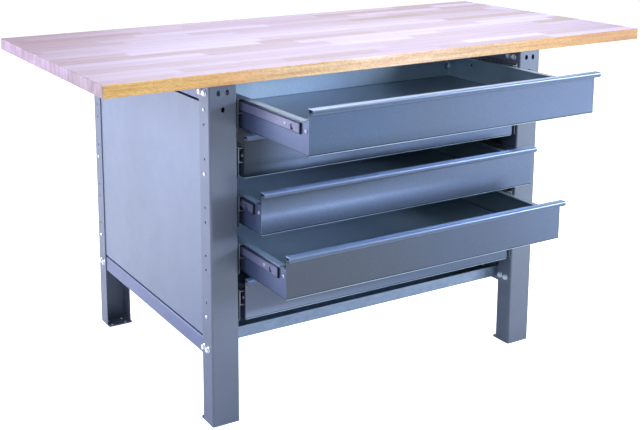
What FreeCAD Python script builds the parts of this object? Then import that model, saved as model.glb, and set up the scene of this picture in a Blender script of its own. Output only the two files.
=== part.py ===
import FreeCAD, Part
import math
import os

os.makedirs("parts", exist_ok=True)

V = FreeCAD.Vector

# A workbench with five wide drawers: a laminated wood top on a bolted frame of folded steel.
# Millimetres. X runs along the bench, Y from front to back, Z up.
# The origin is on the floor, at the middle of the four feet.

# ---- driving dimensions ------------------------------------------------------------

# worktop
TOP_LENGTH = 1600.0
TOP_DEPTH = 750.0
TOP_THICK = 30.0
BENCH_HEIGHT = 860.0
TOP_SHIFT_X = 47.0          # the top reaches further out on the right than on the left
TOP_OVERHANG_FRONT = 18.0
EDGE_ROUND = 2.0

# legs, folded as channels that open towards the middle of the bench
FRAME_WIDTH = 992.0
FRAME_DEPTH = 730.0
LEG_WEB = 72.0
LEG_FLANGE = 50.0
LEG_SHEET = 2.5
LEG_BEND = 2.5
FOOT_THICK = 3.0
FOOT_DEPTH = 64.0
ANCHOR_HOLE = 9.0
ANCHOR_XS = (443.5, 484.5)  # two rows of two holes in each foot
ANCHOR_YS = (308.5, 339.0)

# slots near the top of each leg web, for uprights and accessories
UPRIGHT_SLOT_WIDE = 9.0
UPRIGHT_SLOT_TALL = 13.0
UPRIGHT_SPACING = 23.0
UPRIGHT_PAIR_Z = 809.5
UPRIGHT_LOW_Z = 770.5

# end rails between the front and the rear legs
RAIL_HEIGHT = 40.0
RAIL_SHEET = 2.0
BOTTOM_RAIL_Z = 171.0
BOLT_SHANK = 8.0
BOLT_CLEARANCE = 8.6
BOLT_FLANGE = 16.0
BOLT_FLANGE_THICK = 1.6
BOLT_HEX = 12.0
BOLT_HEAD = 6.0
BOLT_FROM_WEB = 20.0
BOLT_SPACING = 21.5
NUT_SIDE = 13.0
NUT_THICK = 5.0

# sheet panels
PANEL_SHEET = 1.0
PANEL_GAP = 5.0
PANEL_UNDER_FLANGE = 40.0
PANEL_RETURN = 14.0
PAN_FRONT_FROM_WEB = 58.0
PAN_Z = 182.0
PAN_HEIGHT = 30.0
PAN_SIDE_HEIGHT = 24.0
PAN_SHEET = 1.2
BACK_FROM_WEB = 19.0

# drawers
DRAWERS = 5
DRAWER_PITCH = 116.0
DRAWER_OPEN = (281.0, 0.0, 79.0, 189.0, 0.0)
DRAWER_TOP_Z = 821.7        # top of the upper drawer's handle
FRONT_HEIGHT = 102.7
FRONT_WIDTH = 812.6
FRONT_SHEET = 1.2
HANDLE_WIDTH = 816.0
HANDLE_DEPTH = 18.0
HANDLE_DROP = 12.4
HANDLE_CURL = 5.0
HANDLE_BEND = 2.6           # inner radius of the pull's two front bends
TRAY_WIDTH = 812.0
TRAY_LENGTH = 552.0
TRAY_SHEET = 1.0
TRAY_LIP = 12.8
LIP_CUT = 11.0              # the lips' front corners are cut back by this much
SIDE_HEIGHT = 78.0
BACK_HEIGHT = 66.0

# ball bearing slides, 13 thick: an outer and a drawer member, with a ball cage between them
SLIDE_Z = 773.0             # centre line of the upper drawer's slides
SLIDE_LENGTH = 549.0
SLIDE_HEIGHT = 35.0
SLIDE_SHEET = 1.2
SLIDE_THICK = 13.0
INNER_HEIGHT = 24.0
INNER_LENGTH = 520.0
INNER_SETBACK = 31.0        # from the front's face to the drawer member's end
INNER_STAND = 4.5           # the drawer member's web stands this far off the tray
CAGE_SHEET = 1.0
CAGE_LENGTH = 146.0
CAGE_START = -160.0         # front end of the ball cages while the drawer is shut
RUNNING_GAP = 0.05          # between a row of balls and the raceway it runs in
CARRIER_SHEET = 1.5

# the legs' rows of small holes: a pair of holes for each drawer
HOLE_Z = 770.5              # upper hole of the upper pair
HOLE_FROM_WEB = 26.0
PAIR_STEP = 35.0
SMALL_HOLE = 6.0
SCREW_SHANK = 4.8

# ---- worked out from them ----------------------------------------------------------

HALF_W = FRAME_WIDTH / 2
HALF_D = FRAME_DEPTH / 2
LEG_TOP = BENCH_HEIGHT - TOP_THICK
LEG_INNER = HALF_W - LEG_WEB
LEG_MID = HALF_W - LEG_WEB / 2
FLANGE_EDGE = HALF_D - LEG_FLANGE
BOLT_YS = (HALF_D - BOLT_FROM_WEB, HALF_D - BOLT_FROM_WEB - BOLT_SPACING)
RAIL_ZS = (BOTTOM_RAIL_Z, LEG_TOP - RAIL_HEIGHT)
HOLE_Y = HALF_D - HOLE_FROM_WEB
SLIDE_FRONT = -HALF_D + 4.0
DRAWER_LOW = DRAWER_TOP_Z - FRONT_HEIGHT
SIDES = (("left", -1), ("right", 1))
ENDS = (("front", -1), ("rear", 1))


# ---- sheet metal and small helpers ---------------------------------------------------

def bent_sheet(path, thickness, bend, to_space, run):
    """A sheet folded along a line of points and drawn out along run.

    The path is the sheet's right-hand face; the metal lies to its left. Each corner is
    bent about one centre, with the given radius on its inner side; bend is one radius for
    all corners, or a list with one for each.
    """
    bends = bend if isinstance(bend, list) else [bend] * (len(path) - 2)

    def unit(a, b):
        length = math.hypot(b[0] - a[0], b[1] - a[1])
        return ((b[0] - a[0]) / length, (b[1] - a[1]) / length)

    def beside(point, direction, distance):
        return (point[0] - direction[1] * distance, point[1] + direction[0] * distance)

    headings = [unit(a, b) for a, b in zip(path, path[1:])]
    near = [("point", path[0])]
    far = [("point", beside(path[0], headings[0], thickness))]
    for before, after, corner, radius_in in zip(headings, headings[1:], path[1:-1], bends):
        cross = before[0] * after[1] - before[1] * after[0]
        dot = before[0] * after[0] + before[1] * after[1]
        turn = math.atan2(cross, dot)
        reach = (thickness + radius_in) if turn > 0 else -radius_in
        along = reach * math.tan(turn / 2)
        entry = (corner[0] - before[0] * along, corner[1] - before[1] * along)
        leave = (corner[0] + after[0] * along, corner[1] + after[1] * along)
        centre = beside(entry, before, reach)
        for line, offset in ((near, 0.0), (far, thickness)):
            start = beside(entry, before, offset)
            end = beside(leave, after, offset)
            middle = ((start[0] + end[0]) / 2, (start[1] + end[1]) / 2)
            away = unit(centre, middle)
            radius = abs(reach - offset)
            top = (centre[0] + away[0] * radius, centre[1] + away[1] * radius)
            line.append(("arc", start, top, end))
    near.append(("point", path[-1]))
    far.append(("point", beside(path[-1], headings[-1], thickness)))

    edges = []

    def line_edge(a, b):
        if math.dist(a, b) > 1e-6:
            edges.append(Part.LineSegment(to_space(*a), to_space(*b)).toShape())

    outline = near + [tuple([s[0]] + list(s[1:])[::-1]) for s in far[::-1]]
    place = outline[0][-1]
    for step in outline[1:]:
        line_edge(place, step[1])
        if step[0] == "arc":
            edges.append(Part.Arc(*[to_space(*p) for p in step[1:]]).toShape())
        place = step[-1]
    line_edge(place, outline[0][1])
    return Part.Face(Part.Wire(edges)).extrude(run)


def block(x0, x1, y0, y1, z0, z1):
    """A box between two corners, given in any order."""
    low = V(min(x0, x1), min(y0, y1), min(z0, z1))
    return Part.makeBox(abs(x1 - x0), abs(y1 - y0), abs(z1 - z0), low)


def rod(diameter, start, end):
    """A round bar from one point to another."""
    axis = end - start
    return Part.makeCylinder(diameter / 2, axis.Length, start, axis)


def mirrored_x(shape):
    return shape.mirror(V(0, 0, 0), V(1, 0, 0))


def on_side(shape, side):
    """A shape drawn for the right side, put on the left or the right."""
    return shape if side > 0 else mirrored_x(shape)


def pan_screw(seat, way, head, shank, length, height=3.0):
    """A pan-head screw: a low domed head that stands on its seat, with its shank below."""
    rim = height * 0.45
    dome = head * 0.32
    profile = [V(0, 0, -length), V(shank / 2, 0, -length), V(shank / 2, 0, 0), V(head / 2, 0, 0),
               V(head / 2, 0, rim), V(dome, 0, height), V(0, 0, height)]
    face = Part.Face(Part.makePolygon(profile + [profile[0]]))
    return placed(face.revolve(V(0, 0, 0), V(0, 0, 1), 360), seat, way)


def placed(shape, point, direction):
    """A shape made about +Z, turned to point along direction and moved to point."""
    turn = FreeCAD.Rotation(V(0, 0, 1), direction)
    copy = shape.copy()
    copy.Placement = FreeCAD.Placement(point, turn)
    return copy


def flange_bolt(seat, way, length):
    """A hexagon bolt with a round flange under its head."""
    flange = Part.makeCylinder(BOLT_FLANGE / 2, BOLT_FLANGE_THICK)
    corner = BOLT_HEX / 2 / math.cos(math.radians(30))
    angles = [math.radians(60 * i) for i in range(7)]
    ring = [V(corner * math.cos(a), corner * math.sin(a), BOLT_FLANGE_THICK) for a in angles]
    head = Part.Face(Part.makePolygon(ring)).extrude(V(0, 0, BOLT_HEAD - BOLT_FLANGE_THICK))
    shank = Part.makeCylinder(BOLT_SHANK / 2, length, V(0, 0, -length))
    return placed(flange.fuse([head, shank]).removeSplitter(), seat, way)


nodes = {}


def add(name, shape):
    """Keep a piece, or a group of separate like pieces, as one node."""
    nodes[name] = Part.makeCompound(shape) if isinstance(shape, list) else shape


def slide_level(number):
    """Height of the slides' centre line for a drawer, counted from 0 at the top."""
    return SLIDE_Z - number * DRAWER_PITCH


def hole_level(number):
    """Height of the upper hole of a drawer's pair in the legs."""
    return HOLE_Z - number * DRAWER_PITCH


# ---- worktop -------------------------------------------------------------------------

TOP_SCREW_YS = (-250.0, 0.0, 250.0)
TOP_SCREW_DEPTH = 22.0
TOP_SCREW_SHANK = 5.0
TOP_SCREW_HEAD = 11.0


def worktop():
    """The glued wood slab, its edges eased, drilled from below for the fixing screws."""
    corner = V(TOP_SHIFT_X - TOP_LENGTH / 2, -HALF_D - TOP_OVERHANG_FRONT, LEG_TOP)
    slab = Part.makeBox(TOP_LENGTH, TOP_DEPTH, TOP_THICK, corner)
    slab = slab.makeFillet(EDGE_ROUND, slab.Edges)
    holes = []
    for _, side in SIDES:
        for y in TOP_SCREW_YS:
            underside = V(side * LEG_MID, y, LEG_TOP)
            holes.append(rod(TOP_SCREW_SHANK, underside, underside + V(0, 0, TOP_SCREW_DEPTH)))
    return slab.cut(holes)


def worktop_screws():
    """Six wood screws, up through the top rails into the slab."""
    length = RAIL_SHEET + TOP_SCREW_DEPTH
    return [pan_screw(V(side * LEG_MID, y, LEG_TOP - RAIL_SHEET), V(0, 0, -1),
                      TOP_SCREW_HEAD, TOP_SCREW_SHANK, length)
            for _, side in SIDES for y in TOP_SCREW_YS]


add("worktop", worktop())
add("worktop_screws", worktop_screws())


# ---- legs and feet -------------------------------------------------------------------

BACK_SCREW_ZS = (230.0, 500.0, 760.0)
BACK_SCREW_Y = HALF_D - 11.0


def leg(end):
    """The right-hand leg at one end: web outward, both flanges towards the bench's middle."""
    web_face = end * HALF_D
    tip = end * FLANGE_EDGE
    path = [(LEG_INNER, tip), (LEG_INNER, web_face), (HALF_W, web_face), (HALF_W, tip)]
    if end > 0:
        path.reverse()
    channel = bent_sheet(path, LEG_SHEET, LEG_BEND, lambda x, y: V(x, y, FOOT_THICK),
                         V(0, 0, LEG_TOP - FOOT_THICK))
    return channel.cut(leg_flange_holes(end) + leg_web_slots(end))


def leg_flange_holes(end):
    """Bolt holes for both rails, and the row of small holes in pairs, through both flanges."""
    across = V(LEG_WEB, 0, 0)
    holes = []
    for low in RAIL_ZS:
        for y in BOLT_YS:
            start = V(LEG_INNER, end * y, low + RAIL_HEIGHT / 2)
            holes.append(rod(BOLT_CLEARANCE, start, start + across))
    for number in range(DRAWERS):
        for drop in (0, PAIR_STEP):
            start = V(LEG_INNER, end * HOLE_Y, hole_level(number) - drop)
            holes.append(rod(SMALL_HOLE, start, start + across))
    if end > 0:
        for z in BACK_SCREW_ZS:
            start = V(LEG_INNER, BACK_SCREW_Y, z)
            holes.append(rod(SCREW_SHANK, start, start + V(LEG_SHEET, 0, 0)))
    return holes


def leg_web_slots(end):
    """Three upright slots near the top of the web: a pair, and one below it."""
    centres = [(LEG_MID + s * UPRIGHT_SPACING / 2, UPRIGHT_PAIR_Z) for s in (-1, 1)]
    centres.append((LEG_MID, UPRIGHT_LOW_Z))
    return [upright_slot(x, z, UPRIGHT_SLOT_WIDE, UPRIGHT_SLOT_TALL, end * HALF_D, LEG_SHEET + 1)
            for x, z in centres]


def upright_slot(x, z, wide, tall, y, reach):
    """A cutter for a round-ended slot through a sheet that lies across Y."""
    rise = (tall - wide) / 2
    rods = [rod(wide, V(x, y - reach, z + s * rise), V(x, y + reach, z + s * rise)) for s in (-1, 1)]
    waist = block(x - wide / 2, x + wide / 2, y - reach, y + reach, z - rise, z + rise)
    return waist.fuse(rods)


def foot_plate(end):
    """The right-hand foot: a flat plate welded across the leg's lower end, with four holes."""
    plate = block(LEG_INNER, HALF_W, end * HALF_D, end * (HALF_D - FOOT_DEPTH), 0, FOOT_THICK)
    upright = [e for e in plate.Edges if abs(e.tangentAt(e.FirstParameter).z) > 0.9]
    plate = plate.makeFillet(LEG_BEND + LEG_SHEET, upright)
    holes = [rod(ANCHOR_HOLE, V(x, end * y, 0), V(x, end * y, FOOT_THICK))
             for x in ANCHOR_XS for y in ANCHOR_YS]
    return plate.cut(holes)


for end_name, end in ENDS:
    leg_shape = leg(end)
    foot_shape = foot_plate(end)
    for side_name, side in SIDES:
        add("leg_%s_%s" % (end_name, side_name), on_side(leg_shape, side))
        add("foot_plate_%s_%s" % (end_name, side_name), on_side(foot_shape, side))


# ---- end rails and their bolts ---------------------------------------------------------

RAIL_OUTER = HALF_W - LEG_SHEET
RAIL_INNER = LEG_INNER + LEG_SHEET
RAIL_REACH = HALF_D - LEG_SHEET - LEG_BEND - 0.5
RAIL_BEND = 1.0
PAN_SCREW_YS = (-250.0, 0.0, 250.0)
PAN_SCREW_Z = PAN_Z + 15.0


def end_rail(low, top_screws):
    """An upside-down channel that fills the legs and is bolted through both their flanges."""
    high = low + RAIL_HEIGHT
    path = [(RAIL_OUTER, low), (RAIL_OUTER, high), (RAIL_INNER, high), (RAIL_INNER, low)]
    rail = bent_sheet(path, RAIL_SHEET, RAIL_BEND, lambda x, z: V(x, -RAIL_REACH, z),
                      V(0, 2 * RAIL_REACH, 0))
    middle = low + RAIL_HEIGHT / 2
    holes = [rod(BOLT_CLEARANCE, V(RAIL_INNER, end * y, middle), V(RAIL_OUTER, end * y, middle))
             for _, end in ENDS for y in BOLT_YS]
    if top_screws:
        holes += [rod(TOP_SCREW_SHANK + 1, V(LEG_MID, y, high - RAIL_SHEET), V(LEG_MID, y, high))
                  for y in TOP_SCREW_YS]
    else:
        holes += [rod(SCREW_SHANK, V(RAIL_INNER, y, PAN_SCREW_Z), V(RAIL_INNER + RAIL_SHEET, y, PAN_SCREW_Z))
                  for y in PAN_SCREW_YS]
    return rail.cut(holes)


def bolt_places():
    """Each bolt's seat on a leg flange, with the way its head points."""
    for low in RAIL_ZS:
        z = low + RAIL_HEIGHT / 2
        for _, end in ENDS:
            for y in BOLT_YS:
                for _, side in SIDES:
                    yield V(side * HALF_W, end * y, z), V(side, 0, 0)
                    yield V(side * LEG_INNER, end * y, z), V(-side, 0, 0)


def rail_nut():
    """A square weld nut, drawn with its welded face at the origin."""
    half = NUT_SIDE / 2
    nut = block(-half, half, -half, half, -NUT_THICK, 0)
    return nut.cut(rod(BOLT_CLEARANCE, V(0, 0, -NUT_THICK), V(0, 0, 0)))


for low, level_name in zip(RAIL_ZS, ("bottom", "top")):
    rail_shape = end_rail(low, level_name == "top")
    for side_name, side in SIDES:
        add("%s_end_rail_%s" % (level_name, side_name), on_side(rail_shape, side))
wall = LEG_SHEET + RAIL_SHEET
add("frame_bolts", [flange_bolt(seat, way, wall + NUT_THICK + 1) for seat, way in bolt_places()])
add("rail_nuts", [placed(rail_nut(), seat - way * wall, way) for seat, way in bolt_places()])


# ---- side panels, back panel and bottom pan -------------------------------------------

PANEL_LOW = BOTTOM_RAIL_Z + RAIL_HEIGHT + PANEL_GAP
PANEL_HIGH = LEG_TOP - RAIL_HEIGHT - PANEL_GAP
PANEL_FACE = HALF_W - LEG_SHEET
PANEL_BEND = 1.0
SCREW_HEAD = 9.0
FRONT_PANEL_SCREWS = (hole_level(0), hole_level(1) - PAIR_STEP, hole_level(4) - PAIR_STEP)
REAR_PANEL_SCREWS = (hole_level(0), hole_level(2) - PAIR_STEP, hole_level(4) - PAIR_STEP)
PANEL_SCREW_PLACES = ([(-HOLE_Y, z) for z in FRONT_PANEL_SCREWS]
                      + [(HOLE_Y, z) for z in REAR_PANEL_SCREWS])


def side_panel():
    """A sheet held behind the legs' outer flanges, its top and bottom edges folded inward."""
    reach = FLANGE_EDGE + PANEL_UNDER_FLANGE
    path = [(PANEL_FACE - PANEL_RETURN, PANEL_LOW), (PANEL_FACE, PANEL_LOW),
            (PANEL_FACE, PANEL_HIGH), (PANEL_FACE - PANEL_RETURN, PANEL_HIGH)]
    sheet = bent_sheet(path, PANEL_SHEET, PANEL_BEND, lambda x, z: V(x, -reach, z),
                       V(0, 2 * reach, 0))
    holes = [rod(SCREW_SHANK, V(PANEL_FACE - PANEL_SHEET, y, z), V(PANEL_FACE, y, z))
             for y, z in PANEL_SCREW_PLACES]
    return sheet.cut(holes)


def back_panel():
    """A sheet between the rear legs, its sides folded back along their inner flanges."""
    face = HALF_D - BACK_FROM_WEB
    edge = face + PANEL_RETURN
    path = [(-LEG_INNER, edge), (-LEG_INNER, face), (LEG_INNER, face), (LEG_INNER, edge)]
    sheet = bent_sheet(path, PANEL_SHEET, PANEL_BEND, lambda x, y: V(x, y, PANEL_LOW),
                       V(0, 0, PANEL_HIGH - PANEL_LOW))
    holes = [rod(SCREW_SHANK, V(side * LEG_INNER, BACK_SCREW_Y, z),
                 V(side * (LEG_INNER - PANEL_SHEET), BACK_SCREW_Y, z))
             for _, side in SIDES for z in BACK_SCREW_ZS]
    return sheet.cut(holes)


def bottom_pan():
    """A shallow galvanised tray between the bottom end rails; its front edge shows as a rail."""
    half = RAIL_INNER
    front = -HALF_D + PAN_FRONT_FROM_WEB
    top = PAN_Z + PAN_HEIGHT
    path = [(front, top), (front, PAN_Z), (-front, PAN_Z), (-front, top)]
    wrap = bent_sheet(path, PAN_SHEET, PANEL_BEND, lambda y, z: V(-half, y, z), V(2 * half, 0, 0))
    ends = [block(s * half, s * (half - PAN_SHEET), front + 6, -front - 6, PAN_Z, PAN_Z + PAN_SIDE_HEIGHT)
            for _, s in SIDES]
    holes = [rod(SCREW_SHANK, V(s * half, y, PAN_SCREW_Z), V(s * (half - PAN_SHEET), y, PAN_SCREW_Z))
             for _, s in SIDES for y in PAN_SCREW_YS]
    return wrap.fuse(ends).removeSplitter().cut(holes)


def panel_screws():
    """Pan-head screws through the outer flanges into the side panels."""
    length = LEG_SHEET + PANEL_SHEET + 4
    return [pan_screw(V(side * HALF_W, y, z), V(side, 0, 0), SCREW_HEAD, SCREW_SHANK, length)
            for _, side in SIDES for y, z in PANEL_SCREW_PLACES]


def back_screws():
    """Screws from inside, through the back panel's returns into the rear legs."""
    return [pan_screw(V(side * (LEG_INNER - PANEL_SHEET), BACK_SCREW_Y, z), V(-side, 0, 0),
                      SCREW_HEAD, SCREW_SHANK, PANEL_SHEET + LEG_SHEET + 2)
            for _, side in SIDES for z in BACK_SCREW_ZS]


def pan_screws():
    """Screws from inside the bottom pan, through its ends into the bottom rails."""
    return [pan_screw(V(side * (RAIL_INNER - PAN_SHEET), y, PAN_SCREW_Z), V(-side, 0, 0),
                      SCREW_HEAD, SCREW_SHANK, PAN_SHEET + RAIL_SHEET + 3)
            for _, side in SIDES for y in PAN_SCREW_YS]


side_panel_shape = side_panel()
for side_name, side in SIDES:
    add("side_panel_%s" % side_name, on_side(side_panel_shape, side))
add("panel_screws", panel_screws())
add("back_panel", back_panel())
add("back_screws", back_screws())
add("bottom_pan", bottom_pan())
add("pan_screws", pan_screws())


# ---- slide carriers, which span from the front legs to the rear legs --------------------

TRAY_SIDE = TRAY_WIDTH / 2
SLIDE_BACK = TRAY_SIDE + SLIDE_THICK
CARRIER_ABOVE = 21.0
CARRIER_BELOW = 54.5
CARRIER_BEND = 0.5
CARRIER_START = -HALF_D + 4.0
CARRIER_END = HALF_D - BACK_FROM_WEB - 2.0
SLIDE_SCREW_HEAD = 8.0
SLIDE_SCREW_HEIGHT = 1.2
SLIDE_SCREW_SHANK = 4.0
OUTER_SCREW_YS = (-240.0, 80.0)


def slide_carrier(number):
    """A strip against the legs' inner flanges; its folded edges hold it off them."""
    level = slide_level(number)
    high = level + CARRIER_ABOVE
    low = level - CARRIER_BELOW
    path = [(LEG_INNER, high), (SLIDE_BACK, high), (SLIDE_BACK, low), (LEG_INNER, low)]
    strip = bent_sheet(path, CARRIER_SHEET, CARRIER_BEND, lambda x, z: V(x, CARRIER_START, z),
                       V(0, CARRIER_END - CARRIER_START, 0))
    through = V(CARRIER_SHEET, 0, 0)
    holes = []
    for _, end in ENDS:
        start = V(SLIDE_BACK, end * HOLE_Y, hole_level(number) - PAIR_STEP)
        holes.append(rod(SMALL_HOLE, start, start + through))
    for y in OUTER_SCREW_YS:
        start = V(SLIDE_BACK, y, level)
        holes.append(rod(SLIDE_SCREW_SHANK, start, start + through))
    return strip.cut(holes)


def carrier_screws():
    """One screw at each end of each carrier, into the lower hole of the leg's pair."""
    length = LEG_INNER + LEG_SHEET - SLIDE_BACK + 3
    return [pan_screw(V(side * SLIDE_BACK, end * HOLE_Y, hole_level(n) - PAIR_STEP), V(-side, 0, 0),
                      SCREW_HEAD, SCREW_SHANK, length)
            for n in range(DRAWERS) for _, end in ENDS for _, side in SIDES]


def low_screw(seat, way, length):
    """A screw with a thin flat head, as fits inside a slide."""
    head = Part.makeCylinder(SLIDE_SCREW_HEAD / 2, SLIDE_SCREW_HEIGHT)
    shank = Part.makeCylinder(SLIDE_SCREW_SHANK / 2, length, V(0, 0, -length))
    return placed(head.fuse(shank), seat, way)


def slide_screws():
    """Low-headed screws that hold the slides' outer members on their carriers."""
    face = SLIDE_BACK - SLIDE_SHEET
    return [low_screw(V(side * face, y, slide_level(n)), V(-side, 0, 0), SLIDE_SHEET + CARRIER_SHEET)
            for n in range(DRAWERS) for y in OUTER_SCREW_YS for _, side in SIDES]


carriers = [slide_carrier(n) for n in range(DRAWERS)]
for side_name, side in SIDES:
    add("slide_carriers_%s" % side_name, [on_side(c, side) for c in carriers])
add("carrier_screws", carrier_screws())
add("slide_screws", slide_screws())


# ---- slides ----------------------------------------------------------------------------

SLIDE_BEND = 0.3
OUTER_TIP = TRAY_SIDE + 0.5
INNER_FACE = TRAY_SIDE + INNER_STAND
BALL_INNER = TRAY_SIDE + 0.9
BALL_OUTER = TRAY_SIDE + 2.9
CAGE_WEB = TRAY_SIDE + 8.6
CAGE_HALF = 14.7
SLOT_Y = 32.0
SLOT_WIDE = 5.0
SLOT_LOW = -8.0             # from the slides' centre line
SLOT_HIGH = 4.0
SLOT_TOE = 5.0
INNER_SCREW_YS = (60.0, 370.0)


def slide_channel(web, tip, half, sheet, start, length, level):
    """A folded channel, its web's outer face at X = web and its flanges' tips at X = tip."""
    path = [(tip, level - half), (web, level - half), (web, level + half), (tip, level + half)]
    return bent_sheet(path, sheet, SLIDE_BEND, lambda x, z: V(x, start, z), V(0, length, 0))


def outer_slide(level):
    """The member that stays on the carrier."""
    channel = slide_channel(SLIDE_BACK, OUTER_TIP, SLIDE_HEIGHT / 2, SLIDE_SHEET, SLIDE_FRONT,
                            SLIDE_LENGTH, level)
    through = V(-SLIDE_SHEET, 0, 0)
    seats = [V(SLIDE_BACK, y, level) for y in OUTER_SCREW_YS]
    return channel.cut([rod(SLIDE_SCREW_SHANK, seat, seat + through) for seat in seats])


def ball_cage(level, opening):
    """The cage between the two members, with a row of balls along its top and its bottom.

    The cage rolls along at half the drawer's speed. Each row of balls is drawn as one bar.
    """
    start = CAGE_START - opening / 2
    cage = slide_channel(CAGE_WEB, BALL_INNER, CAGE_HALF, CAGE_SHEET, start, CAGE_LENGTH, level)
    rail = INNER_HEIGHT / 2 + RUNNING_GAP
    raceway = SLIDE_HEIGHT / 2 - SLIDE_SHEET - RUNNING_GAP
    rows = [block(BALL_INNER, BALL_OUTER, start + 3, start + CAGE_LENGTH - 3, level + s * rail,
                  level + s * raceway) for s in (-1, 1)]
    return cage.fuse(rows)


def inner_slide(level, opening):
    """The member on the drawer's side, with an L-shaped latch slot near its front end."""
    start = -HALF_D + INNER_SETBACK - opening
    channel = slide_channel(INNER_FACE, TRAY_SIDE, INNER_HEIGHT / 2, SLIDE_SHEET, start,
                            INNER_LENGTH, level)
    slot_start = start + SLOT_Y
    heel = block(INNER_FACE, INNER_FACE - SLIDE_SHEET, slot_start, slot_start + SLOT_WIDE,
                 level + SLOT_LOW, level + SLOT_HIGH)
    toe = block(INNER_FACE, INNER_FACE - SLIDE_SHEET, slot_start - SLOT_TOE, slot_start + SLOT_WIDE,
                level + SLOT_LOW, level + SLOT_LOW + SLOT_WIDE)
    through = V(-SLIDE_SHEET, 0, 0)
    seats = [V(INNER_FACE, start + y, level) for y in INNER_SCREW_YS]
    return channel.cut([heel, toe] + [rod(SLIDE_SCREW_SHANK, seat, seat + through) for seat in seats])


# ---- drawers: tray, front and their screws -----------------------------------------------

TAB_DEPTH = 24.0
TAB_BELOW_TOP = 31.0
TAB_SCREW_Y = 12.0
TAB_SCREW_HEIGHT = 2.2
TAB_SCREW_DROP = 2.5        # below the slides' centre line
ACCESS_HOLE = 8.0
ACCESS_FROM_BACK = 112.0
BACK_NOTCH_WIDE = 11.0
BACK_NOTCH_LOW = -31.0
BACK_NOTCH_HIGH = -13.0
SHEET_BEND = 0.8


def tray(front_face, level):
    """The drawer's body: bottom and sides in one sheet, outward lips, and a lower back."""
    base = level - SLIDE_Z + DRAWER_LOW - TRAY_SHEET
    start = front_face + FRONT_SHEET
    rear = start + TRAY_LENGTH
    top = base + SIDE_HEIGHT
    half = TRAY_SIDE
    path = [(-half - TRAY_LIP, top), (-half, top), (-half, base), (half, base), (half, top),
            (half + TRAY_LIP, top)]
    wrap = bent_sheet(path, TRAY_SHEET, SHEET_BEND, lambda x, z: V(x, start, z), V(0, TRAY_LENGTH, 0))
    inside = half - TRAY_SHEET
    back_top = base + BACK_HEIGHT
    back_path = [(rear, base + TRAY_SHEET / 2), (rear, back_top), (rear - 10, back_top)]
    back = bent_sheet(back_path, TRAY_SHEET, SHEET_BEND, lambda y, z: V(-inside, y, z),
                      V(2 * inside, 0, 0))
    cuts = []
    for _, side in SIDES:
        through = V(-side * TRAY_SHEET, 0, 0)
        holes = [(front_face + TAB_SCREW_Y, level - TAB_SCREW_DROP, SCREW_SHANK),
                 (rear - ACCESS_FROM_BACK, level - TAB_SCREW_DROP, ACCESS_HOLE)]
        holes += [(front_face + INNER_SETBACK + y, level, SLIDE_SCREW_SHANK) for y in INNER_SCREW_YS]
        for y, z, diameter in holes:
            cuts.append(rod(diameter, V(side * half, y, z), V(side * half, y, z) + through))
        cuts.append(block(side * inside, side * (inside - BACK_NOTCH_WIDE), rear - TRAY_SHEET, rear,
                          level + BACK_NOTCH_LOW, level + BACK_NOTCH_HIGH))
    for _, side in SIDES:
        corner = [V(side * (half + 1), start - 1, 0), V(side * (half + TRAY_LIP + 1), start - 1, 0),
                  V(side * (half + TRAY_LIP + 1), start + LIP_CUT, 0), V(side * (half + 1), start + 1, 0)]
        wedge = Part.Face(Part.makePolygon(corner + [corner[0]])).extrude(V(0, 0, 2 * TRAY_SHEET + 2))
        wedge.translate(V(0, 0, top - TRAY_SHEET - 1))
        cuts.append(wedge)
    return wrap.fuse(back).removeSplitter().cut(cuts)


def drawer_front(front_face, level):
    """The front, folded at its top into a forward pull that is open at both ends."""
    low = level - SLIDE_Z + DRAWER_LOW
    top = low + FRONT_HEIGHT
    out = front_face - HANDLE_DEPTH
    back = front_face + FRONT_SHEET
    shelf = top - HANDLE_DROP
    path = [(back + 10, low + FRONT_SHEET), (back, low + FRONT_SHEET), (back, top), (out, top),
            (out, shelf), (out + HANDLE_CURL, shelf)]
    half = HANDLE_WIDTH / 2
    panel = bent_sheet(path, FRONT_SHEET, [SHEET_BEND, SHEET_BEND, HANDLE_BEND, HANDLE_BEND],
                       lambda y, z: V(-half, y, z), V(2 * half, 0, 0))
    inside = TRAY_SIDE - TRAY_SHEET
    cuts = []
    tabs = []
    for _, side in SIDES:
        cuts.append(block(side * FRONT_WIDTH / 2, side * half, front_face - 0.5, back, low, top - 2))
        cuts.append(block(side * (inside - SHEET_BEND), side * half, back, back + 10, low, low + 5))
        tab = block(side * inside, side * (inside - FRONT_SHEET), back, front_face + TAB_DEPTH,
                    low + 6, top - TAB_BELOW_TOP)
        seat = V(side * inside, front_face + TAB_SCREW_Y, level - TAB_SCREW_DROP)
        tabs.append(tab.cut(rod(SCREW_SHANK, seat, seat - V(side * FRONT_SHEET, 0, 0))))
    return panel.cut(cuts).fuse(tabs)


def drawer_screws(front_face, level):
    """One screw through each side into the front, and two through each slide's drawer member."""
    screws = []
    for _, side in SIDES:
        away = V(side, 0, 0)
        seat = V(side * TRAY_SIDE, front_face + TAB_SCREW_Y, level - TAB_SCREW_DROP)
        screws.append(pan_screw(seat, away, SCREW_HEAD, SCREW_SHANK, TRAY_SHEET + FRONT_SHEET,
                                TAB_SCREW_HEIGHT))
        for y in INNER_SCREW_YS:
            seat = V(side * INNER_FACE, front_face + INNER_SETBACK + y, level)
            screws.append(low_screw(seat, away, INNER_STAND + TRAY_SHEET))
    return screws


def both_sides(shapes):
    """A pair for the left and the right, from the shapes of the right one."""
    return shapes + [mirrored_x(s) for s in shapes]


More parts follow.
